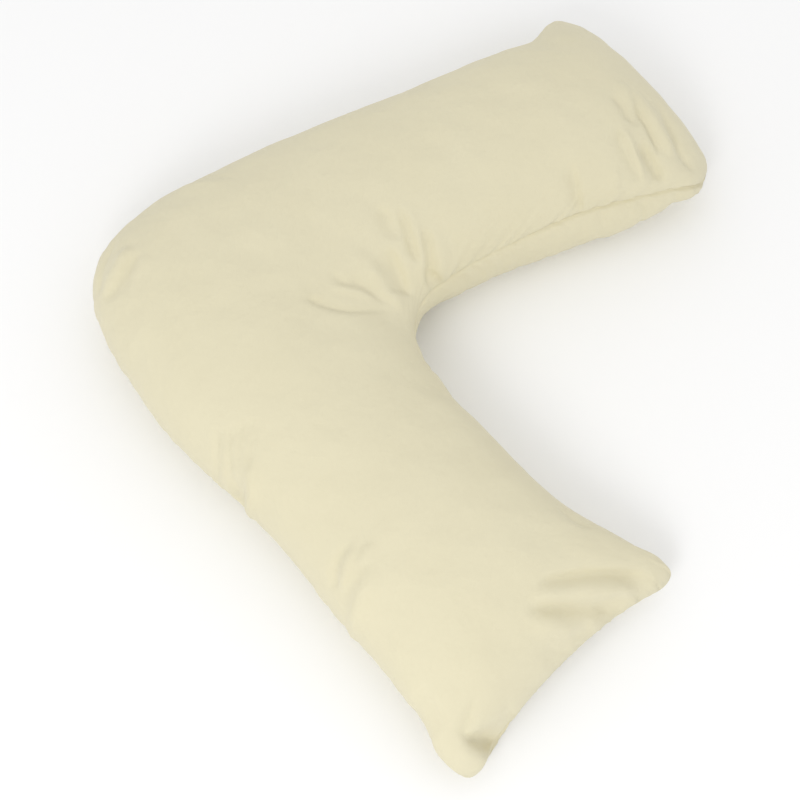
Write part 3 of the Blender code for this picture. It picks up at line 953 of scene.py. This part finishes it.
def detailed(grid, seed):
    """A panel with lumps, the groove of the seam and the puckers beside it."""
    sides, ends, along = edge_distance(grid, 1), edge_distance(grid, 0), run_over(grid, 0)
    gap, from_tip = np.minimum(sides, ends), np.hypot(sides, ends)
    free = np.clip(grid[..., 2] / CONTACT_EASE, 0.0, 1.0)
    lumps = LUMP_HEIGHT * waves(cut_fine[..., 0], cut_fine[..., 1], LUMPS, LUMP_LENGTHS, seed)
    puckers = PUCKER_HEIGHT * waves(along, 0.0, PUCKERS, PUCKER_LENGTHS, seed + 1, 0.0)
    near = fading(gap, PUCKER_REACH, PUCKER_POWER) * (1 - fading(gap, GROOVE_WIDTH, BELL))
    tight = np.interp(fine_place, *np.array(SEAM_TIGHTNESS).T)
    tight = tight * (1 - fading(from_tip, TIP_REACH, BELL))
    groove = -GROOVE_DEPTH * tight * fading(gap, GROOVE_WIDTH)
    lift = (lumps * (1 - fading(gap, 2 * PUCKER_REACH)) + puckers * near) * free + groove
    return grid + facing(grid) * lift[..., None]


front_move = fold_move(front_fine, FOLDS, FOLD_SHARE_AFTER, LEAN)
back_out = (back_fine + dragged(front_move, back_fine))[:, ::-1]
back_out = back_out + fold_move(back_fine[:, ::-1], BACK_FOLDS, FOLD_SHARE_AFTER)
front_detailed = detailed(front_fine + front_move, FRONT_SEED)
back_detailed = detailed(back_out, BACK_SEED)[:, ::-1]
print("the folds move the front by up to", most_mm(front_move), "mm")

# %% [markdown]
# ## One sewn edge
#
# Both panels still have an edge of their own, and on the real pillow it is one and the same.
# Merging points by distance would close it, but it could also weld the thin ears. So both
# edges get the mean of the two, point by point. The front panel is kept a little above the
# back one, and nothing goes below the floor. An ear's tip is blunt on the real thing, because
# the corner was turned and holds its own seam, so the tips are drawn in a little.

# %% One sewn edge
TUCK_REACH = 0.012          # how far from an ear's very tip the cloth is tucked in
TUCK = 0.4                  # share of the way to the ear's middle that the tip is drawn in
TUCK_STEPS = 10             # steps of the grid from an ear's tip to its middle
CLOTH_GAP = 0.0005          # the front panel stays at least this far above the back one


def tucked(front, back):
    """Both panels with the ears' very tips drawn in, which makes them blunt."""
    for row, column in ((0, 0), (0, -1), (-1, 0), (-1, -1)):
        inner_row = TUCK_STEPS if row == 0 else -1 - TUCK_STEPS
        inner_column = TUCK_STEPS if column == 0 else -1 - TUCK_STEPS
        middle = 0.5 * (front[inner_row, inner_column] + back[inner_row, inner_column])
        tip = front[row, column].copy()
        for grid in (front, back):
            near = fading(np.linalg.norm(grid - tip, axis=2), TUCK_REACH, BELL)
            grid += TUCK * near[..., None] * (middle - grid)
    return front, back


def shared_rim(front, back):
    """Both panels with the mean of their sewn edges, clear of the floor and of each other."""
    rim = on_rim(front)
    middle = 0.5 * (front[rim] + back[rim])
    front[rim], back[rim] = middle, middle
    back[..., 2] = np.maximum(back[..., 2], 0.0)
    front[~rim, 2] = np.maximum(front[~rim, 2], back[~rim, 2] + CLOTH_GAP)
    return front, back


front_done, back_done = tucked(*shared_rim(front_detailed, back_detailed))
print("highest point", round(float(front_done[..., 2].max()), 4), "m")

# %% [markdown]
# ## Cream polycotton
#
# The cloth is a plain weave of thin threads, about three to a millimetre, matt and faintly
# fuzzy. A picture of cloth would blur up close and show its repeats, so formulas make the
# finish. They read the UV map, which is the cut cloth in metres. Two sines multiplied give
# the chequer of a plain weave, stretched noise gives threads of uneven thickness, and a slow
# noise gives soft creases. The fuzz is the shader's sheen.

# %% Cloth material
# two tones of the cloth, which a slow noise mixes
CREAM = (0.745, 0.694, 0.503, 1.0)
CREAM_SHADED = (0.722, 0.668, 0.474, 1.0)
TONE_SCALE = 9.0
TONE_DETAIL = 3.0
THREAD_PITCH = 0.00036
WEAVE_DEPTH = 0.00005
SLUB_DEPTH = 0.00006        # of the uneven threads
SLUB_SCALE = 40.0
SLUB_STRETCH = 30.0         # how much finer the noise is across the threads than along them
SLUB_DETAIL = 2.0
CREASE_DEPTH = 0.0030
CREASE_SCALE = 32.0
CREASE_DETAIL = 4.0
CLOTH_ROUGHNESS = 0.85
CLOTH_SPECULAR = 0.25
SHEEN = 0.18
SHEEN_ROUGHNESS = 0.5


def add_node(tree, kind, **settings):
    """A node of a material, with its properties set by name."""
    node = tree.nodes.new(kind)
    for name, value in settings.items():
        setattr(node, name, value)
    return node


def sine_threads(tree, metres, axis):
    """A wave across the threads of one direction, from -1 to 1."""
    apart = add_node(tree, "ShaderNodeSeparateXYZ")
    tree.links.new(metres.outputs[0], apart.inputs[0])
    turns = add_node(tree, "ShaderNodeMath", operation="MULTIPLY")
    turns.inputs[1].default_value = pi / THREAD_PITCH
    tree.links.new(apart.outputs[axis], turns.inputs[0])
    wave = add_node(tree, "ShaderNodeMath", operation="SINE")
    tree.links.new(turns.outputs[0], wave.inputs[0])
    return wave


def noise(tree, metres, scale, detail, stretch=(1.0, 1.0, 1.0)):
    """Noise over the cloth, stretched along the threads if asked."""
    mapping = add_node(tree, "ShaderNodeMapping")
    mapping.inputs["Scale"].default_value = stretch
    tree.links.new(metres.outputs[0], mapping.inputs["Vector"])
    texture = add_node(tree, "ShaderNodeTexNoise")
    texture.inputs["Scale"].default_value = scale
    texture.inputs["Detail"].default_value = detail
    tree.links.new(mapping.outputs[0], texture.inputs["Vector"])
    return texture


def add_bump(tree, height, depth, below=None):
    """A bump whose depth is in metres, on top of another one."""
    bump = add_node(tree, "ShaderNodeBump")
    bump.inputs["Strength"].default_value = 1.0
    bump.inputs["Distance"].default_value = depth
    tree.links.new(height, bump.inputs["Height"])
    if below is not None:
        tree.links.new(below.outputs["Normal"], bump.inputs["Normal"])
    return bump


def cloth_material():
    """Cream polycotton with its weave, uneven threads, creases and fuzz."""
    material = bpy.data.materials.new("cream_polycotton")
    material.use_nodes = True
    tree = material.node_tree
    shader = tree.nodes["Principled BSDF"]
    shader.inputs["Roughness"].default_value = CLOTH_ROUGHNESS
    shader.inputs["Sheen Weight"].default_value = SHEEN
    shader.inputs["Sheen Roughness"].default_value = SHEEN_ROUGHNESS
    shader.inputs["Specular IOR Level"].default_value = CLOTH_SPECULAR
    metres = add_node(tree, "ShaderNodeUVMap", uv_map="cut_cloth")

    weave = add_node(tree, "ShaderNodeMath", operation="MULTIPLY")
    tree.links.new(sine_threads(tree, metres, 0).outputs[0], weave.inputs[0])
    tree.links.new(sine_threads(tree, metres, 1).outputs[0], weave.inputs[1])
    warp = noise(tree, metres, SLUB_SCALE, SLUB_DETAIL, (1.0, SLUB_STRETCH, 1.0))
    weft = noise(tree, metres, SLUB_SCALE, SLUB_DETAIL, (SLUB_STRETCH, 1.0, 1.0))
    creases = noise(tree, metres, CREASE_SCALE, CREASE_DETAIL)
    bump = add_bump(tree, creases.outputs["Fac"], CREASE_DEPTH)
    bump = add_bump(tree, warp.outputs["Fac"], SLUB_DEPTH, bump)
    bump = add_bump(tree, weft.outputs["Fac"], SLUB_DEPTH, bump)
    bump = add_bump(tree, weave.outputs[0], WEAVE_DEPTH, bump)
    tree.links.new(bump.outputs["Normal"], shader.inputs["Normal"])

    tone = add_node(tree, "ShaderNodeMix", data_type="RGBA")
    tone.inputs["A"].default_value = CREAM
    tone.inputs["B"].default_value = CREAM_SHADED
    patches = noise(tree, metres, TONE_SCALE, TONE_DETAIL)
    tree.links.new(patches.outputs["Fac"], tone.inputs["Factor"])
    tree.links.new(tone.outputs["Result"], shader.inputs["Base Color"])
    return material


cloth = cloth_material()
print("material:", cloth.name, len(cloth.node_tree.nodes), "nodes")

# %% [markdown]
# ## The pillow
#
# Now the piece itself. The filling never shows, so the pillow is its cloth alone: both fine
# panels, sewn into one closed body, with the cut cloth as its UV map. Front and back could be
# two pieces, but one closed mesh can't open at the seam.

# %% The pillow's mesh
def finished_pillow(front, back):
    """The pillow as one mesh, with its UV map in metres of cut cloth."""
    mesh = sewn_mesh("pillow_cloth", front, back)
    flat = vertex_rows(cut_fine, cut_fine)
    corners = np.empty(len(mesh.loops), dtype=np.int32)
    mesh.loops.foreach_get("vertex_index", corners)
    mesh.uv_layers.new(name="cut_cloth").uv.foreach_set("vector", flat[corners].ravel())
    mesh.materials.append(cloth)
    return placed("pillow_cloth", mesh)


pillow = finished_pillow(front_done, back_done)
print("pillow:", 2 * len(pillow.data.polygons), "triangles")

# %% [markdown]
# ## Stitches
#
# The thread shows as a row of short bars deep in the seam. They could be set one by one, but
# they all look alike and follow one path, which is what Geometry Nodes are good at: the
# seam's line is cut into equal steps, and a tiny cylinder is set at each, turned along the
# line. The result is made a plain mesh.

# %% Stitches along the seam
STITCH_STEP = 0.0032
STITCH_LENGTH = 0.0023
THREAD_RADIUS = 0.0003
THREAD_SIDES = 6
THREAD_SUNK = 0.35          # of the way from the sewn edge to the cloth's next points


def seam_line(grid):
    """The sewn edge's points in order, once round."""
    return np.vstack([grid[0, :-1], grid[:-1, -1], grid[-1, :0:-1], grid[:0:-1, 0]])


def sunk_seam(front, back):
    """The line of the thread, a little inside the groove between both panels."""
    inside = 0.5 * (front + back)
    inner = np.pad(inside[1:-1, 1:-1], ((1, 1), (1, 1), (0, 0)), mode="edge")
    return seam_line(front) * (1 - THREAD_SUNK) + seam_line(inner) * THREAD_SUNK


def stitch_tree(material):
    """Geometry Nodes that set a bar of thread at each step along a closed line."""
    tree = bpy.data.node_groups.new("stitches", "GeometryNodeTree")
    sockets = {}
    for name, kind, in_out in (
        ("Geometry", "NodeSocketGeometry", "INPUT"),
        ("Step", "NodeSocketFloat", "INPUT"),
        ("Stitch Length", "NodeSocketFloat", "INPUT"),
        ("Thread Radius", "NodeSocketFloat", "INPUT"),
        ("Geometry", "NodeSocketGeometry", "OUTPUT"),
    ):
        socket = tree.interface.new_socket(name=name, in_out=in_out, socket_type=kind)
        if in_out == "INPUT":
            sockets[name] = socket.identifier
    given = tree.nodes.new("NodeGroupInput")
    result = tree.nodes.new("NodeGroupOutput")
    line = tree.nodes.new("GeometryNodeMeshToCurve")
    steps = add_node(tree, "GeometryNodeResampleCurve", mode="LENGTH")
    bar = tree.nodes.new("GeometryNodeMeshCylinder")
    bar.inputs["Vertices"].default_value = THREAD_SIDES
    place = tree.nodes.new("GeometryNodeInstanceOnPoints")
    heading = tree.nodes.new("GeometryNodeInputTangent")
    turn = add_node(tree, "FunctionNodeAlignRotationToVector", axis="Z")
    real = tree.nodes.new("GeometryNodeRealizeInstances")
    finish = tree.nodes.new("GeometryNodeSetMaterial")
    finish.inputs["Material"].default_value = material
    link = tree.links.new
    link(given.outputs["Geometry"], line.inputs[0])
    link(line.outputs[0], steps.inputs["Curve"])
    link(given.outputs["Step"], steps.inputs["Length"])
    link(steps.outputs[0], place.inputs["Points"])
    link(given.outputs["Stitch Length"], bar.inputs["Depth"])
    link(given.outputs["Thread Radius"], bar.inputs["Radius"])
    link(bar.outputs["Mesh"], place.inputs["Instance"])
    link(heading.outputs[0], turn.inputs["Vector"])
    link(turn.outputs[0], place.inputs["Rotation"])
    link(place.outputs[0], real.inputs[0])
    link(real.outputs[0], finish.inputs["Geometry"])
    link(finish.outputs[0], result.inputs[0])
    return tree, sockets


def add_stitches(line, material):
    """The stitches round the whole seam, as a plain mesh."""
    path = bpy.data.meshes.new("seam_path")
    count = len(line)
    path.from_pydata(line.tolist(), [(k, (k + 1) % count) for k in range(count)], [])
    guide = placed("seam_path", path)
    tree, sockets = stitch_tree(material)
    nodes = guide.modifiers.new("stitches", "NODES")
    nodes.node_group = tree
    nodes[sockets["Step"]] = STITCH_STEP
    nodes[sockets["Stitch Length"]] = STITCH_LENGTH
    nodes[sockets["Thread Radius"]] = THREAD_RADIUS
    graph = bpy.context.evaluated_depsgraph_get()
    mesh = bpy.data.meshes.new_from_object(guide.evaluated_get(graph))
    mesh.name = "seam_stitches"
    bpy.data.objects.remove(guide)
    return placed("seam_stitches", mesh)


stitches = add_stitches(sunk_seam(front_done, back_done), cloth)
print("stitches:", len(stitches.data.polygons), "faces")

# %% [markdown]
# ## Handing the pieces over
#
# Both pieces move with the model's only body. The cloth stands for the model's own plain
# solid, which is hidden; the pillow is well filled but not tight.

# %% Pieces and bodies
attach(pillow, "root")
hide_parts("pillow")
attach(stitches, "root")
